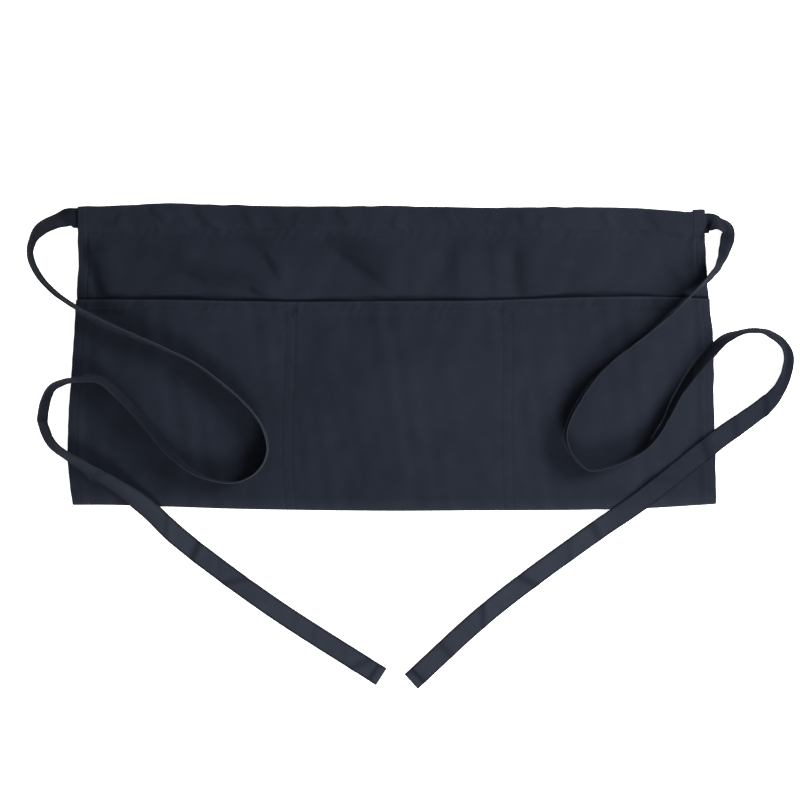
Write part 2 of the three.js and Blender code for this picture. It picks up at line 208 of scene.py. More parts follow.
def spacedLine(start, end, step, fineSpots=()):
    # points whose density is 1 / step, and rises to 1 / fine at each (place, reach, fine)
    line = np.linspace(start, end, 4000)
    density = np.full_like(line, 1 / step)
    for place, reach, fine in fineSpots:
        density += (1 / fine - 1 / step) * bell(line - place, reach)
    mass = np.concatenate([[0], np.cumsum((density[1:] + density[:-1]) / 2 * np.diff(line))])
    count = int(np.ceil(mass[-1])) + 1
    return np.interp(np.linspace(0, mass[-1], count), mass, line)


def runAlong(line):
    # the length of the line up to each of its points
    return np.concatenate([[0], np.cumsum(np.linalg.norm(np.diff(line, axis=0), axis=1))])


def readLine(at, run, values):
    # each column of the values, read at places along the run
    return np.stack([np.interp(at, run, column) for column in values.T], 1)


def softWaves(x, y, size, seed, stretch=1.0):
    # the sum of twelve plane waves of about one size, with drawn directions, sizes and phases
    draw = np.random.default_rng(seed)
    total = np.zeros(np.broadcast(x, y).shape)
    for _ in range(12):
        turn, phase = draw.uniform(0, 2 * np.pi, 2)
        wave = 2 * np.pi / (size * draw.uniform(0.6, 1.7))
        total += np.sin(wave * (np.cos(turn) * x * stretch + np.sin(turn) * y) + phase)
    return total / np.sqrt(12)


def puckers(run, off, pitch, slant, reach, seed):
    # uneven ripples along a row of stitches, leaning by slant and dying away over reach
    draw = np.random.default_rng(seed)
    a, b, c = draw.uniform(0, 2 * np.pi, 3)
    turn = 2 * np.pi * (run + slant * off) / pitch
    turn = turn + 1.5 * np.sin(turn / 3.7 + a) + 1.1 * np.sin(turn / 8.3 + b)
    strength = 0.65 + 0.35 * np.sin(turn / 5.9 + c)
    return strength * np.sin(turn) * np.exp(-np.abs(off) / reach)


# Ties: flat bands, each from its own end of the casing. A row is how far out from the apron and
# down towards its bottom the band's middle is, the height of what it lies on, and its roll in
# degrees, 0 where it lies flat and 90 on edge.
tieMake = {
    "width": 0.019,
    "thickness": 0.0016,
    "step": 0.0012,
    "faceColumns": 15,
    "stitchInset": 0.0021,
    "endTurn": 0.0076,
    "turnStitch": 0.85,  # the share of the turn at which it is stitched
    "turnEdge": 1.15,  # and at which painted shade marks its edge
    "groove": 0.14,  # share of the half thickness that a row of stitches presses in
    "grooveReach": 0.0006,
    "easing": 0.0007,  # its ends are rounded over this
    "crinkleStart": 0.03,
    "crinkleSpacing": 0.028,
    "crinkleStray": 0.012,
    "crinkleReach": 0.004,
    "crinkleHeight": 0.0019,
    "crinkleShade": 0.45,
    "pinchReach": 0.022,
    "edgeReach": 0.0013,
    "edgeShade": 0.85,
    "turnReach": 0.0018,
    "turnShade": 0.6,
    "edgeHighlight": 1.6,
    "lighterEnd": 0.16,  # this much of the end is not darkened, and as much again partly
}

# Each tie: where its own pieces differ. It is darker by that share before its lighter end, and by
# the painted shade at spots where its face turns from the light: (x, y), reach, share. At its
# pinches it is bent lengthwise: (x, y), and how far its middle stands out there.
leftMake = {
    **tieMake,
    "end": 0.0,
    "seed": 11,
    "darkening": 0.0,
    "shades": (
        (-0.3006, 0.1325, 0.008, 0.7), (-0.306, 0.124, 0.02, 0.35), (-0.322, 0.064, 0.04, 0.8),
        (-0.22, -0.07, 0.08, 0.68), (-0.3196, -0.081, 0.03, 0.4),
    ),
    "pinches": ((-0.327, -0.038, 0.0022), (-0.334, 0.112, 0.0016), (-0.311, 0.056, -0.0014)),
    "route": (
        (-0.012, 0, 0.001, 0), (-0.004, 0, 0.001, 0), (0.003, 0, 0.001, 0),
        (0.009, 0.0003, 0.001, 20), (0.02, 0.0038, 0.0005, 36), (0.034, 0.011, 0, 38),
        (0.042, 0.024, 0, 54), (0.0435, 0.036, 0, 60), (0.0385, 0.05, 0, 63),
        (0.026, 0.066, 0.001, 69), (0.008, 0.08, 0.0046, 74), (-0.021, 0.096, 0.0071, 83),
        (-0.07, 0.118, 0.008, 83), (-0.092, 0.128, 0.0079, 83), (-0.114, 0.139, 0.0075, 84),
        (-0.157, 0.173, 0.0057, 88), (-0.173, 0.192, 0.0046, 90), (-0.18, 0.209, 0.0038, 90),
        (-0.18, 0.226, 0.0033, 90), (-0.17, 0.241, 0.0031, 90), (-0.152, 0.25, 0.003, 90),
        (-0.129, 0.248, 0.0032, 90), (-0.107, 0.238, 0.0037, 82), (-0.086, 0.219, 0.0044, 72),
        (-0.063, 0.191, 0.0052, 70), (-0.041, 0.168, 0.0055, 73), (-0.024, 0.155, 0.0055, 78),
        (-0.002, 0.154, 0.0047, 78), (0.014, 0.157, 0.0026, 66), (0.025, 0.1645, 0, 53),
        (0.0305, 0.178, 0, 47), (0.0315, 0.194, 0, 47), (0.0255, 0.2105, 0, 50),
        (0.013, 0.222, 0.0032, 58), (-0.008, 0.2347, 0.0042, 57), (-0.0365, 0.252, 0.0038, 44),
        (-0.065, 0.2735, 0.0033, 14), (-0.097, 0.304, 0.0006, 0), (-0.182, 0.3675, 0, 0),
        (-0.288, 0.4355, 0, 0),
    ),
}
rightMake = {
    **tieMake,
    "end": 1.0,
    "seed": 23,
    "darkening": 0.48,
    "shades": (
        (0.3187, 0.115, 0.01, 0.8), (0.315, 0.096, 0.02, 0.68), (0.308, 0.08, 0.024, 0.5),
        (0.336, 0.025, 0.035, 0.45), (0.364, 0.019, 0.022, 0.4), (0.3758, -0.01, 0.038, 0.75),
    ),
    "pinches": (
        (0.375, -0.004, -0.003), (0.345, 0.0245, 0.0016), (0.314, 0.108, 0.0022),
        (0.302, 0.012, 0.0015),
    ),
    "route": (
        (-0.012, 0, 0.001, 0), (-0.004, 0, 0.001, 0), (0.003, 0, 0.001, 0),
        (0.0075, 0.0002, 0.001, -30), (0.013, 0.0017, 0.0006, -48), (0.0205, 0.0065, 0.0002, -38),
        (0.0208, 0.0145, 0, -34), (0.0175, 0.026, 0, -44), (0.013, 0.0375, 0.0003, -60),
        (0.006, 0.0485, 0.003, -68), (-0.015, 0.069, 0.0081, -82), (-0.034, 0.088, 0.0081, -83),
        (-0.057, 0.107, 0.008, -85), (-0.1, 0.141, 0.0073, -90), (-0.128, 0.183, 0.0054, -90),
        (-0.133, 0.2, 0.0047, -90), (-0.13, 0.214, 0.0043, -90), (-0.121, 0.227, 0.0039, -90),
        (-0.111, 0.234, 0.0036, -90), (-0.096, 0.232, 0.0036, -90), (-0.077, 0.225, 0.0039, -90),
        (-0.057, 0.213, 0.0042, -90), (-0.042, 0.193, 0.0048, -86), (-0.028, 0.165, 0.0051, -80),
        (-0.013, 0.143, 0.005, -70), (0.003, 0.124, 0.0045, -64), (0.017, 0.1105, 0.0026, -66),
        (0.033, 0.104, 0, -77), (0.05, 0.1025, 0, -74), (0.062, 0.1065, 0, -61),
        (0.073, 0.1145, 0, -56), (0.0785, 0.126, 0, -48), (0.077, 0.14, 0, -45),
        (0.0705, 0.156, 0, -42), (0.058, 0.1715, 0, -22), (0.012, 0.2053, 0.0033, 0),
        (-0.0615, 0.2634, 0.0036, 0), (-0.1028, 0.2921, 0.001, 0), (-0.2033, 0.367, 0, 0),
        (-0.2784, 0.4352, 0, 0),
    ),
}


def routePoints(make):
    # the band's middle stands half its own height at that roll above what it lies on
    out, down, lift, roll = np.array(make["route"]).T
    end, turned = make["end"], np.radians(roll)
    tall = make["width"] * np.abs(np.sin(turned)) + make["thickness"] * np.abs(np.cos(turned))
    exitY = (seamAt(end) + topAt(end)) / 2
    exitX = acrossAt(end, exitY)
    x = exitX - out if end == 0 else exitX + out
    z = lift + cut["layerGap"] + tall / 2
    return np.stack([x, exitY - down, z], 1), roll


def smoothRoute(points, roll, step):
    # a centripetal Catmull-Rom curve through the points, read at equal steps of its length,
    # with the roll eased from row to row
    before = 2 * points[:1] - points[1:2]
    after = 2 * points[-1:] - points[-2:-1]
    p = np.concatenate([before, points, after])
    gap = np.linalg.norm(np.diff(p, axis=0), axis=1)[:, None] ** 0.5
    g0, g1, g2 = gap[:-2], gap[1:-1], gap[2:]
    p0, p1, p2, p3 = p[:-3], p[1:-2], p[2:-1], p[3:]
    m1 = g1 * ((p1 - p0) / g0 - (p2 - p0) / (g0 + g1) + (p2 - p1) / g1)
    m2 = g1 * ((p2 - p1) / g1 - (p3 - p1) / (g1 + g2) + (p3 - p2) / g2)
    place = np.linspace(0, len(points) - 1, 8000)
    row = np.minimum(place.astype(int), len(points) - 2)
    s = (place - row)[:, None]
    fine = cubic(p1[row], m1[row], p2[row], m2[row], s)
    turned = roll[row] + (roll[row + 1] - roll[row]) * smoothStep(place - row)
    length = runAlong(fine)
    even = np.linspace(0, length[-1], int(round(length[-1] / step)) + 1)
    return readLine(even, length, fine), np.radians(np.interp(even, length, turned)), even


def bandFrames(line, roll):
    # across the band: level and square to the path, then turned about the path by the roll
    along = unit(np.gradient(line, axis=0))
    level = unit(np.cross([0.0, 0.0, 1.0], along))
    turn = roll[:, None]
    wide = level * np.cos(turn) + np.cross(along, level) * np.sin(turn)
    return wide, np.cross(along, wide)


def bandCrinkle(make, line, roll, run, across, pinches):
    # slanted bell-shaped creases across the band, deepest where it lies flat, and a tent along
    # it at each pinch, highest at its middle
    draw = np.random.default_rng(make["seed"])
    places = np.arange(make["crinkleStart"], run[-1], make["crinkleSpacing"])
    places = places + draw.uniform(-make["crinkleStray"], make["crinkleStray"], len(places))
    heights = draw.uniform(-0.25, 1.0, len(places))
    slants = draw.uniform(-0.9, 0.9, len(places))
    off = run[:, None, None] - places - slants * across[None, :, None]
    creases = (heights * bell(off, make["crinkleReach"])).sum(-1)
    flat = 0.25 + 0.75 * np.cos(roll[:, None]) ** 2
    lift = make["crinkleHeight"] * creases * flat
    tent = 1 - np.sqrt((across / (make["width"] / 2)) ** 2 + 0.01)
    for x, y, tall in pinches:
        nearest = np.hypot(line[:, 0] - x, line[:, 1] - y).argmin()
        near = bell(run - run[nearest], make["pinchReach"])
        lift = lift + tall * near[:, None] * tent[None, :]
    return lift


def bandHalf(make, run, across):
    # half the band's thickness: full, eased at its edges and its end, with a groove along each
    # row of stitches and one more layer where the end is turned back
    halfWide, half = make["width"] / 2, make["thickness"] / 2
    edge = np.clip(1 - (np.abs(across) / halfWide) ** 10, 0.09, 1) ** 0.5
    fromRow = halfWide - np.abs(across) - make["stitchInset"]
    groove = make["groove"] * bell(fromRow, make["grooveReach"])
    fromEnd = run[-1] - run
    turned = 1 + 0.22 * smoothStep((make["endTurn"] - fromEnd) / 0.0016 + 0.5)
    turned = turned - 0.2 * bell(fromEnd - make["turnStitch"] * make["endTurn"], make["easing"])
    eased = np.clip(np.minimum(fromEnd, run) / make["easing"], 0.1, 1) ** 0.5
    return half * (edge - groove)[None, :] * (turned * eased)[:, None]


def bandSurface(make, line, roll, run, across):
    # middle of the band at each step and column, with its thin direction
    wide, thin = bandFrames(line, roll)
    lift = bandCrinkle(make, line, roll, run, across, make["pinches"])[..., None]
    middle = line[:, None] + wide[:, None] * across[None, :, None] + thin[:, None] * lift
    return middle, thin


def runShade(make, line, run):
    # darker by the share before the lighter end, eased into it, with painted shade in a bell at
    # each spot
    light = 1 - make["darkening"] * smoothStep((run[-1] - run) / make["lighterEnd"] - 1)
    for x, y, reach, share in make["shades"]:
        nearest = np.hypot(line[:, 0] - x, line[:, 1] - y).argmin()
        light = light * (1 - share * bell(run - run[nearest], reach))
    return 1 - light


def tieShade(make, line, roll, run, across):
    # one less what is left light by the painted shade at the rounded edges where the band lies
    # flat, in its creases and at the fold of its turned end, and by the run's darkening and
    # painted shade at spots
    flat = np.cos(roll[:, None]) ** 2
    fromEdge = make["width"] / 2 - np.abs(across)
    edge = make["edgeShade"] * smoothStep(1.3 - fromEdge / make["edgeReach"]) * flat
    creases = bandCrinkle(make, line, roll, run, across, ()) / make["crinkleHeight"]
    creases = make["crinkleShade"] * np.clip(creases, 0, 1)
    fromTurn = run[-1] - run - make["turnEdge"] * make["endTurn"]
    turned = make["turnShade"] * bell(fromTurn, make["turnReach"])
    light = (1 - edge) * (1 - runShade(make, line, run))[:, None]
    return 1 - light * (1 - creases) * (1 - turned[:, None])


def addTie(name, node, make):
    # a flattened tube round the band's middle, closed by a row of faces at each end
    points, rolls = routePoints(make)
    line, roll, run = smoothRoute(points, rolls, make["step"])
    spread = np.linspace(-np.pi / 2, np.pi / 2, make["faceColumns"])
    across = make["width"] / 2 * np.sin(spread)
    middle, thin = bandSurface(make, line, roll, run, across)
    half = bandHalf(make, run, across)[..., None] * thin[:, None]
    steps, columns = middle.shape[:2]
    ring = np.concatenate([middle + half, (middle - half)[:, ::-1]], 1)
    ring[..., 2] = np.maximum(ring[..., 2], cut["onTable"])
    place, sides = tubeFaces(steps, 2 * columns)
    low, high = place[0], place[-1]
    pair = np.arange(columns - 1)
    facing = 2 * columns - 1 - pair
    firstCap = np.stack([low[pair], low[facing], low[facing - 1], low[pair + 1]], -1)
    lastCap = np.stack([high[pair], high[pair + 1], high[facing - 1], high[facing]], -1)
    both = np.concatenate([across, across[::-1]])
    cloth = np.stack(np.broadcast_arrays(both[None, :], run[:, None], 0.0), -1).reshape(-1, 3)
    shade = tieShade(make, line, roll, run, both)
    onEdge = 1 - np.cos(roll[:, None]) ** 2
    # lighter at both edges from wear, and a painted highlight where the band stands on edge and
    # its top edge catches the light
    wearAndHighlight = np.abs(both / (make["width"] / 2)) ** 8 * (1 + make["edgeHighlight"] * onEdge)
    fields = {"clothPlace": cloth, "wearAndHighlight": wearAndHighlight.ravel(), "shade": shade.ravel()}
    faces = [sides, firstCap, lastCap]
    piece = addPiece(name, ring.reshape(-1, 3), faces, [node], fields)
    return piece, (line, roll, run)


leftTie, leftPath = addTie("left_tie", "tie_left", leftMake)
rightTie, rightPath = addTie("right_tie", "tie_right", rightMake)
print("ties laid", round(leftPath[2][-1], 3), round(rightPath[2][-1], 3))


# Heights of the cloth. The panel lies on the table and on its hems, climbs to the casing, and
# carries a few soft folds above the pocket. Each row is a fold's corners from the top down, as
# (along, up), then its reach and its height in metres: the steep side is the lower left one.
folds = {
    "panel": (
        ((0.006, 0.9), (0.022, 0.85), (0.062, 0.66), 0.0105, 0.0066),
        ((0.11, 0.96), (0.096, 0.85), 0.005, 0.0014),
        ((0.14, 0.815), (0.209, 0.757), (0.276, 0.738), (0.335, 0.66), 0.007, 0.0042),
        ((0.244, 0.93), (0.3, 0.853), (0.336, 0.72), 0.0075, 0.0032),
        ((0.388, 0.97), (0.41, 0.855), 0.006, 0.002),
        ((0.392, 0.91), (0.452, 0.815), (0.522, 0.715), 0.012, 0.0056),
        ((0.706, 0.94), (0.723, 0.53), 0.013, 0.0032),
        ((0.606, 0.98), (0.61, 0.58), 0.013, 0.0021),
        ((0.662, 0.96), (0.67, 0.64), 0.009, 0.0013),
        ((0.826, 0.93), (0.79, 0.7), 0.011, 0.0012),
        ((0.93, 0.84), (0.99, 0.68), 0.009, 0.001),
    ),
    "casing": (
        ((0.114, 0.99), (0.147, 0.935), 0.0045, 0.0015),
        ((0.182, 0.995), (0.228, 0.905), 0.005, 0.0018),
        ((0.074, 0.985), (0.06, 0.915), 0.0045, 0.0011),
        ((0.262, 0.985), (0.286, 0.915), 0.0045, 0.001),
        ((0.352, 0.98), (0.345, 0.915), 0.004, 0.0009),
        ((0.409, 0.99), (0.44, 0.92), 0.005, 0.0012),
        ((0.512, 0.98), (0.502, 0.915), 0.0045, 0.0009),
        ((0.583, 0.99), (0.603, 0.915), 0.0045, 0.001),
        ((0.706, 0.985), (0.716, 0.9), 0.0055, 0.0014),
        ((0.742, 0.97), (0.735, 0.91), 0.0045, 0.0008),
        ((0.838, 0.985), (0.85, 0.915), 0.0045, 0.001),
        ((0.912, 0.985), (0.932, 0.915), 0.0045, 0.0008),
    ),
    "steep": 0.62,
    "gentle": 1.35,
    "taper": 0.3,
    "fade": 0.026,
    "mouthFade": 0.007,
    "shadePerMetre": 75.0,  # painted shade in a fold, for each metre of its height
    "mostShade": {"panel": 0.6, "casing": 0.5},
}


def foldsAt(rows, along, y):
    # each fold is a bell over the distance from its nearest stretch, narrower on one side, that
    # eases to nothing at both ends
    width, height = cut["waistWidth"], cut["height"]
    here = np.stack(np.broadcast_arrays(along * width, y + height / 2), -1)
    total = np.zeros(here.shape[:-1])
    for *corners, reach, tall in rows:
        line = np.array(corners) * (width, height)
        lengths = np.linalg.norm(np.diff(line, axis=0), axis=1)
        nearest, ridge = np.full(total.shape, np.inf), np.zeros(total.shape)
        for number, start in enumerate(line[:-1]):
            run = line[number + 1] - start
            share = np.clip((here - start) @ run / (run @ run), 0, 1)
            gap = here - start - share[..., None] * run
            far = (gap**2).sum(-1)
            passed = (lengths[:number].sum() + share * lengths[number]) / lengths.sum()
            ease = smoothStep(np.minimum(passed, 1 - passed) / folds["taper"])
            upper = run[0] * gap[..., 1] > run[1] * gap[..., 0]
            local = reach * np.where(upper, folds["gentle"], folds["steep"])
            ridge = np.where(far < nearest, ease * np.exp(-far / local**2), ridge)
            nearest = np.minimum(nearest, far)
        total += tall * ridge
    return total


def paintedFoldShade(name, along, y):
    # painted shade along the folds: a share of their height, up to a limit
    foldShade = folds["shadePerMetre"] * foldsAt(folds[name], along, y)
    return np.minimum(foldShade, folds["mostShade"][name])


def fromSideAt(along):
    # the smaller of the distances to the two sides
    return np.minimum(along, 1 - along) * cut["waistWidth"]


panelFinish = {
    "seamSlope": 0.007,
    "hemSlope": 0.008,
    "waveHeight": 0.00055,
    "waveSize": 0.06,
    "seamPucker": 0.00045,
    "seamPitch": 0.011,
    "hemPucker": 0.00022,
    "hemPitch": 0.0085,
    "stitchGroove": 0.0005,
    "grooveReach": 0.0009,
    "hemStitch": 0.008,
    "seamStitch": 0.0026,
    "darkening": 0.0027,  # painted shade on the panel above the pocket's mouth reaches up to here
    "stray": 0.00035,
    "straySize": 0.024,
}


def panelBase(along, y):
    # the larger of the hem's layer and half the casing's depth, each reached by a ramp
    onHem = 1 - (fromSideAt(along) - cut["sideHem"]) / panelFinish["hemSlope"]
    atSeam = 1 - (seamAt(along) - y) / panelFinish["seamSlope"]
    hemLift = smoothStep(onHem) * (cut["layer"] + cut["layerGap"])
    seamLift = smoothStep(atSeam) * (cut["casingDepth"] - cut["layer"]) / 2
    return np.maximum(hemLift, seamLift)


def panelTop(along, y):
    # base, one layer, folds that fade at the seam and the mouth, soft waves, and puckers and
    # grooves along the stitches
    make = panelFinish
    x = acrossAt(along, y)
    toSeam, toMouth = seamAt(along) - y, y - mouthAt(along)
    fromMouth = smoothStep((toMouth - 0.001) / folds["mouthFade"])
    free = smoothStep(toSeam / folds["fade"]) * fromMouth
    side = fromSideAt(along)
    waves = make["waveHeight"] * (1 + softWaves(x, y, make["waveSize"], 5, 1.4)) * free
    fromSeam, fromHem = toSeam - make["seamStitch"], side - make["hemStitch"]
    seam = make["seamPucker"] * puckers(x, fromSeam, make["seamPitch"], 0.5, 0.006, 7)
    hem = make["hemPucker"] * puckers(y, fromHem, make["hemPitch"], 0.3, 0.004, 9)
    grooves = bell(fromSeam, make["grooveReach"]) + bell(fromHem, make["grooveReach"])
    detail = foldsAt(folds["panel"], along, y) * free + waves + seam * smoothStep(toMouth / 0.01)
    detail = detail + hem - make["stitchGroove"] * grooves
    return panelBase(along, y) + cut["layer"] + detail


def strayingSides(y, proud=0.0):
    # x of the two side edges at each row, where they stray a little as sewn edges do
    size, height = panelFinish["straySize"], panelFinish["stray"]
    first, last = y[:, :1], y[:, -1:]
    left = acrossAt(0.0, first) - proud + height * softWaves(first, 0 * first, size, 31)
    right = acrossAt(1.0, last) + proud + height * softWaves(last, 0 * last, size, 32)
    return left, right


def addSheet(name, middle, thick, wearAndHighlight, shade, replaced):
    # a closed sheet with the same fields on both faces
    points, faces = closedSheet(middle, thick)
    fields = {"wearAndHighlight": np.tile(wearAndHighlight.ravel(), 2), "shade": np.tile(shade.ravel(), 2)}
    return addPiece(name, points, faces, replaced, fields)


# Panel: the top layer, rounded over at both sides into the hems beneath it
def addPanel():
    half = cut["cloth"] / 2
    width = cut["waistWidth"]
    stitch = panelFinish["hemStitch"] / width
    fine = [(place, 0.003, 0.0005) for place in (0.0, width)]
    fine += [(place * width, 0.003, 0.0006) for place in (stitch, 1 - stitch)]
    along = spacedLine(0, width, 0.0022, fine) / width
    rowsBelow = np.linspace(0, 1, 42)[:-1]
    rowsAbove = spacedLine(0, 1, 0.024, [(0.0, 0.06, 0.008), (0.96, 0.06, 0.01)])
    grid = along[None, :]
    bottom, mouth, seam = bottomAt(grid) + 0.0022, mouthAt(grid), seamAt(grid) - 0.0002
    below = bottom + (mouth - bottom) * rowsBelow[:, None]
    above = mouth + (seam - mouth) * rowsAbove[:, None]
    y = np.concatenate([below, above])
    z = np.maximum(panelTop(grid, y) - half, half)
    bend = (z[:, [0, -1]] - half) / 2  # radius of the rounded side edges
    reach = bend + half
    left, right = strayingSides(y)
    x = left + reach[:, :1] + (right - left - reach.sum(1, keepdims=True)) * grid
    turns = np.linspace(np.pi, 0, 9)[1:-1]
    under = np.linspace(1, 0.0, 8)
    parts = []
    for side, column in ((-1, 0), (1, -1)):
        centreX, radius = x[:, column][:, None], bend[:, [column]]
        arcX = centreX + side * radius * np.sin(turns)
        arcZ = half + radius + radius * np.cos(turns)
        flatX = centreX - side * under * (cut["sideHem"] - 0.001)
        flatZ = np.full_like(flatX, half)
        sideX = np.concatenate([flatX, arcX], 1)
        sideZ = np.concatenate([flatZ, arcZ], 1)
        sideY = np.repeat(y[:, [column]], sideX.shape[1], 1)
        part = np.stack([sideX, sideY, sideZ], -1)
        parts.append(part if side < 0 else part[:, ::-1])
    middle = np.concatenate([parts[0], np.stack([x, y, z], -1), parts[1]], 1)
    thick = np.full(middle.shape[:2], half)
    thick[:, [0, -1]] *= 0.5
    added = parts[0].shape[1]
    # lighter on the rounded side folds: partly wear, partly painted highlight
    wearAndHighlight = np.zeros(middle.shape[:2])
    wearAndHighlight[:, : added + 2] = bell(np.arange(added + 2) - (added - 3), 4.0)
    wearAndHighlight[:, -added - 2 :] = wearAndHighlight[:, : added + 2][:, ::-1]
    # painted shade: a dark line on the panel just above the pocket's mouth, where the lip shades
    # it, and the painted shade of the folds above it
    reach = panelFinish["darkening"] * (1 + 0.25 * softWaves(x, 0 * x, 0.07, 33))
    foldShade = paintedFoldShade("panel", grid, y) * (y > mouth)
    shade = 1 - (1 - smoothStep(1.5 - (y - mouth) / reach)) * (1 - foldShade)
    shade = np.pad(shade, ((0, 0), (added, added)), mode="edge")
    replaced = ["back_panel", "side_hem_left", "side_hem_right"]
    return addSheet("panel_cloth", middle, thick, wearAndHighlight, shade, replaced)


panelCloth = addPanel()
print("panel made")


# Pocket
pocketFinish = {
    "swell": 0.0075,
    "flatness": 1.2,
    "rise": 1.2,
    "mouthSag": 0.66,  # share of the swell that is lost at the mouth, away from the ties
    "sagReach": 0.03,
    "sagSpan": (0.235, 0.275),  # from the middle: full sag within the first, none past the second
    "waveHeight": 0.0005,
    "waveSize": 0.055,
    "rowPucker": 0.00045,
    "rowPitch": 0.0075,
    "mouthPucker": 0.0004,
    "mouthStitch": 0.0072,
    "groove": 0.00028,
    "grooveReach": 0.0011,
    "mouthSlope": 0.006,
    "proud": 0.0002,  # beyond the panel's side edges
    "bottomHighlight": 0.6,
    "tackShade": 0.4,
}


def dividerOff(along):
    # distance from the middle of the nearest divider
    first, second = cut["dividers"]
    return np.minimum(np.abs(along - first), np.abs(along - second)) * cut["waistWidth"]


def swellAt(along, y):
    # across each pocket the sine to a small power, times the share of the way up it to a power,
    # less a sag at the mouth
    make = pocketFinish
    half, hem = cut["dividerWidth"] / 2 / cut["waistWidth"], cut["sideHem"] / cut["waistWidth"]
    starts = [hem, *(place + half for place in cut["dividers"])]
    ends = [*(place - half for place in cut["dividers"]), 1 - hem]
    across = sum(
        np.sin(np.pi * np.clip((along - start) / (end - start), 0, 1)) ** make["flatness"]
        for start, end in zip(starts, ends)
    )
    bottom, mouth = bottomAt(along), mouthAt(along)
    up = np.clip((y - bottom) / (mouth - bottom), 0, 1) ** make["rise"]
    nearMouth = smoothStep(1 - (mouth - y) / make["sagReach"])
    inner, outer = make["sagSpan"]
    inward = smoothStep((outer - np.abs(acrossAt(along, y))) / (outer - inner))
    return make["swell"] * across * up * (1 - make["mouthSag"] * nearMouth * inward)


def pocketTop(along, y):
    # panel, gap, swell, hem where it is turned, one layer, and the marks of the stitches
    make = pocketFinish
    x = acrossAt(along, y)
    fromMouth = mouthAt(along) - y
    onHem = smoothStep(1 - (fromMouth - cut["mouthHem"]) / make["mouthSlope"])
    step = cut["layer"] + cut["layerGap"]
    base = panelBase(along, y) + 2 * cut["layer"] + cut["layerGap"] + swellAt(along, y)
    base = base + onHem * step
    side = fromSideAt(along)
    fromRow = dividerOff(along) - cut["dividerWidth"] / 2
    inPocket = smoothStep(np.minimum(fromRow, side - cut["sideHem"]) / 0.015)
    waves = make["waveHeight"] * softWaves(x, y, make["waveSize"], 15, 2.0) * inPocket
    taller = 0.35 + 0.65 * smoothStep(1 - fromMouth / 0.05)
    rows = make["rowPucker"] * puckers(y, fromRow, make["rowPitch"], 0.5, 0.005, 17) * taller
    fromHem, fromLip = side - panelFinish["hemStitch"], fromMouth - make["mouthStitch"]
    hem = panelFinish["hemPucker"] * puckers(y, fromHem, panelFinish["hemPitch"], 0.3, 0.004, 19)
    lip = make["mouthPucker"] * puckers(x, fromLip, 0.012, 0.4, 0.006, 21)
    grooves = sum(bell(off, make["grooveReach"]) for off in (fromRow, fromHem, fromLip))
    return base + waves + rows + hem + lip - make["groove"] * grooves


def addPocket():
    # from under the bottom fold, round it, up the front, over the mouth and down its hem
    half = cut["cloth"] / 2
    width = cut["waistWidth"]
    row = cut["dividerWidth"] / 2
    stitch = panelFinish["hemStitch"]
    rows = [place * width + side for place in cut["dividers"] for side in (-row, row)]
    fine = [(place, 0.002, 0.0004) for place in (0.0, width)]
    fine += [(place, 0.003, 0.0006) for place in (stitch, width - stitch)]
    fine += [(place, 0.0035, 0.0007) for place in rows]
    along = spacedLine(0, width, 0.0024, fine) / width
    grid = along[None, :]
    bottom, mouth = bottomAt(grid), mouthAt(grid)
    lowBend = (pocketTop(grid, bottom + 0.001) - half - half) / 2
    lipBend = (cut["layer"] + cut["layerGap"]) / 2
    low, high = bottom + lowBend + half, mouth - lipBend - half
    span = cut["pocketDepth"]
    up = spacedLine(0, span, 0.0023, [(span - pocketFinish["mouthStitch"], 0.004, 0.0007)]) / span
    y = low + (high - low) * up[:, None]
    z = pocketTop(grid, y) - half
    turns = np.linspace(-np.pi / 2, np.pi / 2, 9)[:-1, None]
    foldY = low - lowBend * np.cos(turns)
    foldZ = half + lowBend + (z[:1] - half - lowBend) * np.sin(turns)
    over = np.linspace(np.pi / 2, -np.pi / 2, 9)[1:, None]
    lipY = high + lipBend * np.cos(over)
    lipZ = z[-1:] - lipBend + lipBend * np.sin(over)
    down = np.linspace(0, 1, 8)[1:, None]
    hemY = high - down * (cut["mouthHem"] - 0.001)
    hemZ = pocketTop(grid, hemY) - half - 2 * lipBend
    allY = np.concatenate([foldY, y, lipY, hemY])
    allZ = np.concatenate([foldZ, z, lipZ, hemZ])
    left, right = strayingSides(allY, pocketFinish["proud"])
    allX = left + (right - left) * grid
    middle = np.stack([allX, allY, allZ], -1)
    rim = np.clip(fromSideAt(grid) / 0.0006, 0.12, 1) ** 0.5
    thick = half * np.broadcast_to(rim, allY.shape)
    # lighter at the lip of the mouth and at the bottom fold, partly wear and partly painted
    # highlight where the folds catch the light, and a broader strip of painted light along the
    # bottom
    wearAndHighlight = bell(allY - mouth, 0.0014) + 0.6 * bell(allY - bottom, 0.0016)
    wearAndHighlight = wearAndHighlight + pocketFinish["bottomHighlight"] * smoothStep(1.4 - np.abs(allY - bottom) / 0.009)
    fromRow = dividerOff(grid) - row
    patchy = 1 + 0.4 * softWaves(allX, allY, 0.009, 35)
    # painted shade round the puckers where each divider row starts at the mouth
    tack = bell(fromRow, 0.003) * bell(mouth - allY - 0.011, 0.0065)
    shade = np.clip(pocketFinish["tackShade"] * tack * patchy, 0, 0.8)
    replaced = ["pocket_front", "pocket_mouth_hem"]
    return addSheet("pocket_cloth", middle, thick, wearAndHighlight, shade, replaced)


pocketCloth = addPocket()
print("pocket made")


# Casing: one cloth from the seam up the front, over the top fold and down the back
casingFinish = {
    "climb": 0.0075,
    "feather": 0.005,  # the front layer thins out into the panel over this
    "backTuck": 0.0016,
    "wave": 0.00045,
    "waveSize": 0.03,
    "pucker": 0.0003,
    "pitch": 0.019,
    "tab": 0.011,
    "tabRise": 0.0018,
    "leftTurn": 0.007,
}


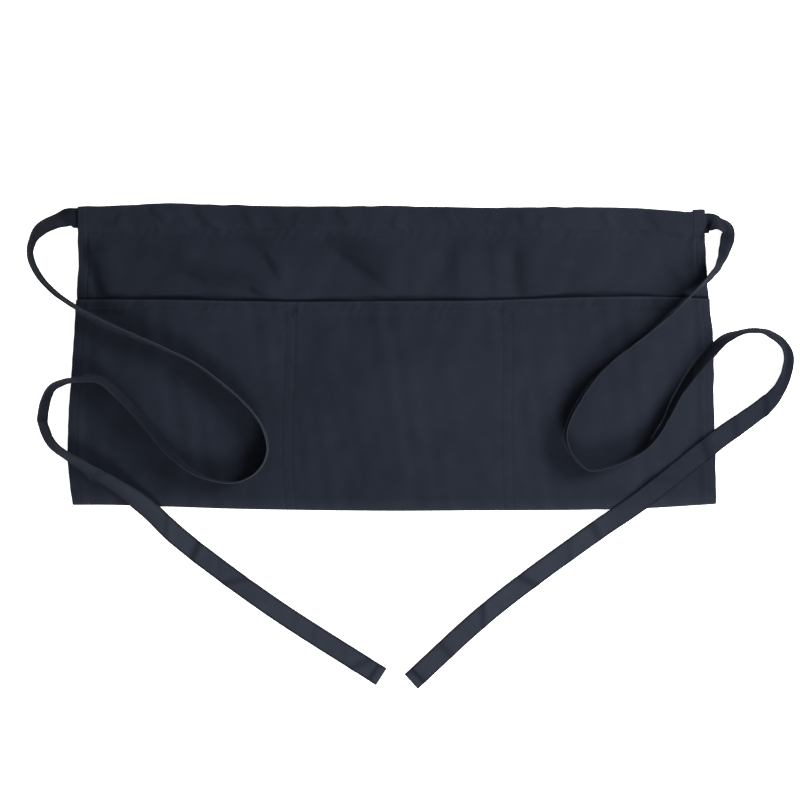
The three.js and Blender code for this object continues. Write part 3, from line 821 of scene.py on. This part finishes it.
def casingTop(along, y):
    # a quarter sine from the panel at the stitches to the casing's depth, with slanted puckers
    make = casingFinish
    x = acrossAt(along, y)
    low = seamAt(along) - panelFinish["seamStitch"]
    start = panelTop(along, low)
    share = np.clip((y - low) / make["climb"], 0, 1)
    height = start + (cut["casingDepth"] - start) * np.sin(np.pi / 2 * share)
    inside = smoothStep((y - low) / 0.004) * smoothStep((topAt(along) - y) / 0.004)
    drag = make["pucker"] * puckers(x, y - low, make["pitch"], 0.9, 0.016, 37)
    waves = make["wave"] * softWaves(x, y, make["waveSize"], 39)
    fromRight, fromLeft = (1 - along) * cut["waistWidth"], along * cut["waistWidth"]
    tab = 0.0005 * smoothStep((make["tab"] - fromRight) / 0.0012 + 0.5)
    turn = 0.0003 * smoothStep((make["leftTurn"] - fromLeft) / 0.0012 + 0.5)
    calm = smoothStep(np.minimum(fromRight - make["tab"], fromLeft - make["leftTurn"]) / 0.01)
    tugs = foldsAt(folds["casing"], along, y)
    return height + inside * ((drag + waves + tugs) * (0.3 + 0.7 * calm) + tab + turn)


def addCasing():
    make = casingFinish
    half = cut["cloth"] / 2
    width = cut["waistWidth"]
    edges = (0.0, make["leftTurn"], width - make["tab"], width)
    fine = [(place, 0.003, 0.0005) for place in edges]
    along = spacedLine(0, width, 0.002, fine) / width
    grid = along[None, :]
    fromRight = (1 - grid) * width
    rise = make["tabRise"] * smoothStep((make["tab"] - fromRight) / 0.0008 + 0.5)
    low = seamAt(grid) - panelFinish["seamStitch"]
    top = topAt(grid) + rise + 0.00025 * softWaves(grid * width, 0 * grid, 0.03, 41)
    bend = cut["casingDepth"] / 2 - half
    high = top - bend - half
    up = spacedLine(0, 1, 0.055, [(0.0, 0.12, 0.02), (1.0, 0.1, 0.03)])[:, None]
    frontY = low + (high - low) * up
    frontTop = casingTop(grid, frontY - rise * up)
    thin = np.clip((frontY - low) / make["feather"], 0.03, 1)
    frontZ = frontTop - half * thin
    over = np.linspace(np.pi / 2, -np.pi / 2, 11)[1:, None]
    overY = high + bend * np.cos(over)
    overZ = (frontZ[-1:] - half - bend) * np.sin(over).clip(0) + bend * np.sin(over).clip(None, 0)
    overZ = half + bend + overZ
    down = np.linspace(0, 1, 10)[1:, None]
    backEnd = seamAt(grid) - make["backTuck"]
    backY = high + (backEnd - high) * down
    backZ = np.full_like(backY, half)
    allY = np.concatenate([frontY, overY, backY])
    allZ = np.concatenate([frontZ, overZ, backZ])
    centre = (seamAt(grid) + topAt(grid)) / 2
    allX = np.broadcast_to(acrossAt(grid, centre), allY.shape)
    middle = np.stack([allX, allY, allZ], -1)
    thick = np.full(allY.shape, half)
    thick[: len(frontY)] *= thin
    thick = thick * np.clip(fromSideAt(grid) / 0.0006, 0.15, 1) ** 0.5
    # lighter along the top fold: partly wear, partly painted highlight
    wearAndHighlight = bell(allY - top, 0.0016)
    # painted shade along the casing's folds
    foldShade = paintedFoldShade("casing", grid, allY)
    return addSheet("casing_cloth", middle, thick, wearAndHighlight, foldShade, ["waist_casing"])


casingCloth = addCasing()
print("casing made")


# Stitches: short bent threads with their ends in the cloth
stitchMake = {"length": 0.0026, "pitch": 0.0031, "radius": 0.00023, "rings": 5, "sides": 6}
tackMake = {**stitchMake, "length": 0.0022, "pitch": 0.0022, "radius": 0.0003}


def stitchMesh(places, along, normal, make):
    # a six-sided thread that arches from end to end, copied to each place
    radius, rings, sides = make["radius"], make["rings"], make["sides"]
    share = np.linspace(-1, 1, rings)[:, None]
    turn = np.linspace(0, 2 * np.pi, sides, endpoint=False)[None, :]
    girth = radius * np.sqrt(np.maximum(1 - 0.85 * share**2, 0.15))
    run = share * make["length"] / 2 + 0 * turn
    side = girth * np.cos(turn)
    lift = 0.8 * girth * np.sin(turn) + radius * (0.6 - 1.5 * share**2)
    points = places[:, None]
    for axis, part in ((along, run), (np.cross(normal, along), side), (normal, lift)):
        points = points + axis[:, None] * part.ravel()[None, :, None]
    place, wall = tubeFaces(rings, sides)
    caps = np.stack([place[0, ::-1], place[-1]])
    shift = (np.arange(len(places)) * rings * sides)[:, None, None]
    faces = [(wall[None] + shift).reshape(-1, 4), (caps[None] + shift).reshape(-1, sides)]
    return points.reshape(-1, 3), faces


def evenPlaces(line, normals, pitch):
    # places one pitch apart along a line, with the line's direction and the cloth's normal there
    run = runAlong(line)
    at = np.arange(pitch / 2, run[-1], pitch)
    direction = unit(readLine(at, run, np.gradient(line, axis=0)))
    normal = readLine(at, run, normals)
    normal = unit(normal - (normal * direction).sum(1, keepdims=True) * direction)
    return readLine(at, run, line), direction, normal


def clothLine(along, y, heightAt):
    # a line on the cloth, with normals from the slopes of its height
    along, y = np.broadcast_arrays(np.asarray(along, float), np.asarray(y, float))
    small = 0.0004
    z = heightAt(along, y)
    slopeX = (heightAt(along + small / cut["waistWidth"], y) - z) / small
    slopeY = (heightAt(along, y + small) - z) / small
    normals = unit(np.stack([-slopeX, -slopeY, np.ones_like(z)], 1))
    return np.stack([acrossAt(along, y), y, z], 1), normals


def addStitches(name, lines, make=stitchMake):
    # threads at even places along each line
    found = [evenPlaces(line, normals, make["pitch"]) for line, normals in lines]
    places, along, normal = (np.concatenate(parts) for parts in zip(*found))
    points, faces = stitchMesh(places, along, normal, make)
    points[:, 2] = np.maximum(points[:, 2], cut["onTable"])
    return addPiece(name, points, faces, [], {"wearAndHighlight": np.zeros(len(points))})


def seamLines():
    # along the seam of the casing
    along = np.linspace(0.012, 0.999, 900)
    return [clothLine(along, seamAt(along) - panelFinish["seamStitch"], panelTop)]


def sideLines():
    # down both sides, on the pocket and on the panel above it
    lines = []
    for place in (panelFinish["hemStitch"], cut["waistWidth"] - panelFinish["hemStitch"]):
        along = place / cut["waistWidth"]
        mouth, seam, bottom = mouthAt(along), seamAt(along), bottomAt(along)
        lines.append(clothLine(along, np.linspace(bottom + 0.002, mouth - 0.001, 500), pocketTop))
        lines.append(clothLine(along, np.linspace(mouth + 0.001, seam - 0.003, 200), panelTop))
    return lines


def dividerRows():
    # the places along the waist of the two rows at each divider
    half = 0.5 * cut["dividerWidth"] / cut["waistWidth"]
    return [divider + side * half for divider in cut["dividers"] for side in (-1, 1)]


def pocketLines():
    # along the mouth, and along both rows of each divider
    along = np.linspace(0.016, 0.984, 900)
    lines = [clothLine(along, mouthAt(along) - pocketFinish["mouthStitch"], pocketTop)]
    for along in dividerRows():
        reach = np.linspace(bottomAt(along) + 0.001, mouthAt(along) - 0.001, 500)
        lines.append(clothLine(along, reach, pocketTop))
    return lines


def tackLines():
    # short crossing stitches where each divider row starts at the mouth
    lines = []
    spread = np.linspace(-0.0011, 0.0011, 6) / cut["waistWidth"]
    for along in dividerRows():
        for step in np.arange(0.0055, 0.0145, 0.0007):
            lines.append(clothLine(along + spread, mouthAt(along) - step, pocketTop))
    return lines


def tabLines():
    # two rows on the tab at the right end, and one on the turn at the left end
    lines = []
    width = cut["waistWidth"]
    for along in (1 - 0.0012 / width, 1 - 0.0098 / width, 0.0055 / width):
        reach = np.linspace(seamAt(along) + 0.001, topAt(along) - 0.003, 60)
        lines.append(clothLine(along, reach, casingTop))
    return lines


def tieLines(make, line, roll, run):
    # a row along each edge on both faces, and one across the turned end
    lines = []
    inset = make["width"] / 2 - make["stitchInset"]
    across = np.array([-inset, inset])
    middle, thin = bandSurface(make, line, roll, run, across)
    half = bandHalf(make, run, across)
    sewn = slice(5, -2)
    for column in (0, 1):
        for normals in (-thin[sewn], thin[sewn]):
            lines.append((middle[sewn, column] + half[sewn, [column]] * normals, normals))
    at = len(run) - 1 - int(round(make["turnStitch"] * make["endTurn"] / make["step"]))
    across = np.linspace(-inset, inset, 24)
    middle, thin = bandSurface(make, line, roll, run, across)
    half = bandHalf(make, run, across)
    for face in (-1, 1):
        normals = np.repeat(face * thin[at : at + 1], len(across), 0)
        lines.append((middle[at] + half[at][:, None] * normals, normals))
    return lines


seamStitches = addStitches("seam_stitches", seamLines())
sideStitches = addStitches("side_stitches", sideLines())
pocketStitches = addStitches("pocket_stitches", pocketLines())
tabStitches = addStitches("tab_stitches", tabLines())
dividerTacks = addStitches("divider_tacks", tackLines(), make=tackMake)
leftRows, rightRows = tieLines(leftMake, *leftPath), tieLines(rightMake, *rightPath)
leftTieStitches = addStitches("left_tie_stitches", leftRows)
rightTieStitches = addStitches("right_tie_stitches", rightRows)
print("stitches sewn")


# Cloth: a steep twill with uneven yarns, soft fading, a lighter tone on folded edges that is
# partly wear and partly painted highlight, and darker where the shade field paints shade
clothFinish = {
    "dark": (0.0045, 0.0058, 0.0095, 1),
    "light": (0.0095, 0.0118, 0.0183, 1),
    "wornAndLit": (0.021, 0.024, 0.031, 1),
    "deep": (0.002, 0.0027, 0.0052, 1),
    "twillPitch": 0.00085,
    "yarnPitch": 0.00045,
    "bump": 0.0001,
    "roughness": 0.86,
    "specular": 0.05,
    "sheen": 0.035,
    "sheenRoughness": 0.45,
    "sheenTint": (0.75, 0.84, 1.0, 1),
}
tieFinish = {
    **clothFinish,
    "dark": (0.0106, 0.0128, 0.0186, 1),
    "light": (0.019, 0.0222, 0.0305, 1),
    "specular": 0.02,
    "sheen": 0.01,
}
threadFinish = {
    **clothFinish,
    "dark": (0.0075, 0.009, 0.013, 1),
    "light": (0.012, 0.0142, 0.0195, 1),
    "bump": 0.00003,
}


def fill(node, inputs):
    # each socket, by its name or number, gets its constant or its link
    for key, value in inputs.items():
        if isinstance(value, bpy.types.NodeSocket):
            node.id_data.links.new(value, node.inputs[key])
        else:
            node.inputs[key].default_value = value


def addCloth(name, finish, place):
    # place is "object", or the name of the vector field that holds the place on the cloth
    material = bpy.data.materials.new(name)
    material.use_nodes = True
    nodes = material.node_tree.nodes

    def add(kind, inputs, **settings):
        node = nodes.new(kind)
        for key, value in settings.items():
            setattr(node, key, value)
        fill(node, inputs)
        return node

    def field(name, output):
        return add("ShaderNodeAttribute", {}, attribute_name=name).outputs[output]

    def math(operation, first, second):
        return add("ShaderNodeMath", {0: first, 1: second}, operation=operation).outputs[0]

    def mix(factor, first, second):
        return add("ShaderNodeMix", {0: factor, 6: first, 7: second}, data_type="RGBA").outputs[2]

    def bands(pitch, angle, blur):
        # waves at that pitch along x, once the cloth is turned by the angle
        turn = (0, 0, np.radians(angle))
        turned = add("ShaderNodeMapping", {"Vector": source, "Rotation": turn}).outputs["Vector"]
        inputs = {"Vector": turned, "Scale": 2 * np.pi / (20 * pitch), "Distortion": blur}
        inputs |= {"Detail": 2, "Detail Scale": 0.6}
        return add("ShaderNodeTexWave", inputs, bands_direction="X").outputs["Fac"]

    def noise(size, detail):
        inputs = {"Vector": source, "Scale": 1 / size, "Detail": detail, "Roughness": 0.55}
        return add("ShaderNodeTexNoise", inputs).outputs["Fac"]

    if place == "object":
        source = add("ShaderNodeTexCoord", {}).outputs["Object"]
    else:
        source = field(place, "Vector")
    twill = bands(finish["twillPitch"], 58, 0.8)
    warp = bands(finish["yarnPitch"], 0, 0.6)
    weft = bands(finish["yarnPitch"], 90, 0.6)
    yarns = math("MULTIPLY", math("MULTIPLY", warp, weft), 0.45)
    weave = math("ADD", math("MULTIPLY", twill, 0.55), yarns)
    fading, blotch, fleck = noise(0.09, 3), noise(0.012, 3), noise(0.0009, 2)
    tone = math("ADD", math("MULTIPLY", fading, 0.5), math("MULTIPLY", blotch, 0.25))
    tone = math("ADD", tone, math("MULTIPLY", math("ADD", fleck, weave), 0.16))
    contrast = add("ShaderNodeMapRange", {"Value": tone, "From Min": 0.3, "From Max": 0.75})
    colour = mix(contrast.outputs["Result"], finish["dark"], finish["light"])
    # the lighter tone on folded edges: partly wear, partly painted highlight
    wornAndLit = math("MULTIPLY", math("MULTIPLY", field("wearAndHighlight", "Fac"), fleck), 0.55)
    # the shade field paints shade by mixing towards the shade colour
    colour = mix(field("shade", "Fac"), mix(wornAndLit, colour, finish["wornAndLit"]), finish["deep"])
    height = math("ADD", weave, math("MULTIPLY", fleck, 0.5))
    bump = add("ShaderNodeBump", {"Height": height, "Strength": 0.7, "Distance": finish["bump"]})
    fill(nodes["Principled BSDF"], {
        "Base Color": colour,
        "Normal": bump.outputs["Normal"],
        "Roughness": math("ADD", math("MULTIPLY", blotch, 0.12), finish["roughness"] - 0.06),
        "Specular IOR Level": finish["specular"],
        "Sheen Weight": finish["sheen"],
        "Sheen Roughness": finish["sheenRoughness"],
        "Sheen Tint": finish["sheenTint"],
    })
    return material


apronCloth = addCloth("navy_twill", clothFinish, "object")
tieCloth = addCloth("navy_twill_tie", tieFinish, "clothPlace")
thread = addCloth("navy_thread", threadFinish, "object")
for piece in (panelCloth, pocketCloth, casingCloth):
    piece.data.materials.append(apronCloth)
for piece in (leftTie, rightTie):
    piece.data.materials.append(tieCloth)
apronThreads = [seamStitches, sideStitches, pocketStitches, tabStitches, dividerTacks]
for piece in (*apronThreads, leftTieStitches, rightTieStitches):
    piece.data.materials.append(thread)
print("materials set")


# Studio: a pale floor under an even white sky, with a broad soft light from the right and one
# from the front. A light is its place and its power.
studio = {
    "floorSize": 8.0,
    "floorDrop": 0.0004,
    "floorColour": (0.9, 0.9, 0.9, 1),
    "floorGlow": 0.85,
    "sky": 0.57,
    "lightSize": 0.55,
    "lights": (((1.16, 0.45, 0.95), 45.0), ((0.4, -1.28, 0.98), 38.0)),
}


def addStudio(setup):
    half, drop = setup["floorSize"] / 2, -setup["floorDrop"]
    mesh = bpy.data.meshes.new("floor")
    corners = [(-half, -half, drop), (half, -half, drop), (half, half, drop), (-half, half, drop)]
    mesh.from_pydata(corners, [], [(0, 1, 2, 3)])
    floor = addObject("floor", mesh)
    paint = bpy.data.materials.new("pale_floor")
    paint.use_nodes = True
    fill(paint.node_tree.nodes["Principled BSDF"], {
        "Base Color": setup["floorColour"],
        "Emission Color": (1, 1, 1, 1),
        "Emission Strength": setup["floorGlow"],
        "Roughness": 0.9,
        "Specular IOR Level": 0.1,
    })
    mesh.materials.append(paint)
    world = bpy.data.worlds.new("sky")
    world.use_nodes = True
    sky = world.node_tree.nodes["Background"]
    fill(sky, {"Color": (1, 1, 1, 1), "Strength": setup["sky"]})
    bpy.context.scene.world = world
    for place, power in setup["lights"]:
        data = bpy.data.lights.new("soft_light", "AREA")
        data.shape, data.size, data.energy = "SQUARE", setup["lightSize"], power
        light = addObject("soft_light", data)
        light.location = place
        light.rotation_euler = (-Vector(place)).to_track_quat("-Z", "Y").to_euler()
    bpy.context.scene.view_settings.view_transform = "Standard"


addStudio(studio)
print("studio lit")
